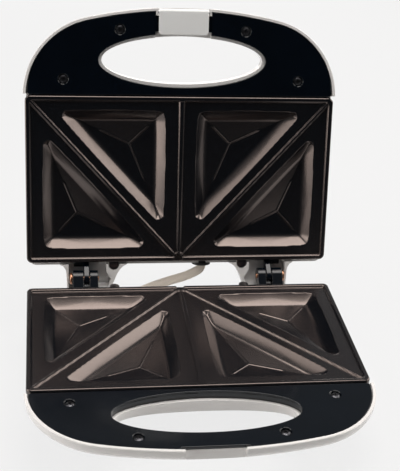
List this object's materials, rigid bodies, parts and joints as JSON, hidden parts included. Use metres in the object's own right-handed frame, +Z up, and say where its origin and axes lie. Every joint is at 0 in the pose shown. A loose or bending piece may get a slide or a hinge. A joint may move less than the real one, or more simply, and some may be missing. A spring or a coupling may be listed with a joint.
{
  "type": "sandwich toaster",
  "caption": "Hinged sandwich toaster with triangular-pocket non-stick plates, handle openings in both halves, a swinging latch clip and a braided link lead, shown open.",
  "frame": {"origin": "centre of the open toaster's footprint box, on the table under its feet", "axes": "+X to the right seen from the handle, +Y towards the hinges at the back, +Z up"},
  "size_m": [0.2248, 0.2553, 0.2327],
  "materials": {
    "shell": "gloss",
    "frame": "semi-gloss",
    "plate": "satin non-stick coating",
    "steel": "satin",
    "sheet": "mill finish",
    "rubber": "matte",
    "pin": "satin",
    "clip": "gloss",
    "braid": "woven",
    "wire": "matte",
    "bakelite": "matte",
    "ceramic": "matte",
    "lens_red": "clear",
    "lens_green": "clear",
    "lamp": "matte"
  },
  "bodies": {
    "base": {"base_shell": "shell", "base_frame": "frame", "base_plate": "plate", "base_element": "steel", "base_element_clamps": "sheet", "base_heat_shield": "sheet", "base_shield_screws": "steel", "base_frame_screws": "steel", "base_plate_screws": "steel", "base_wiring": "wire", "base_link_gland": "rubber", "thermostat": "bakelite", "thermal_fuse": "ceramic", "terminal_block": "ceramic", "rubber_feet": "rubber", "cord_gland": "rubber", "hinge_pin_left": "pin", "hinge_pin_right": "pin", "link_lead": "braid"},
    "lid": {"lid_shell": "shell", "lid_frame": "frame", "lid_plate": "plate", "lid_element": "steel", "lid_element_clamps": "sheet", "lid_heat_shield": "sheet", "lid_shield_screws": "steel", "lid_frame_screws": "steel", "lid_plate_screws": "steel", "lid_link_gland": "rubber", "lid_wiring": "wire", "power_lens": "lens_red", "ready_lens": "lens_green", "neon_lamps": "lamp", "latch_pin": "steel"},
    "latch": {"latch_clip": "clip"}
  },
  "joints": [
    {"name": "lid_hinge", "type": "hinge", "parent": "base", "child": "lid", "pos_m": [0, 0.068, 0.043], "axis": [1, 0, 0], "range_deg": [0, 104], "deforming": ["link_lead"]},
    {"name": "latch_swing", "type": "hinge", "parent": "lid", "child": "latch", "pos_m": [0, 0.11702, 0.22969], "axis": [-1, 0, 0], "range_deg": [0, 90]}
  ]
}
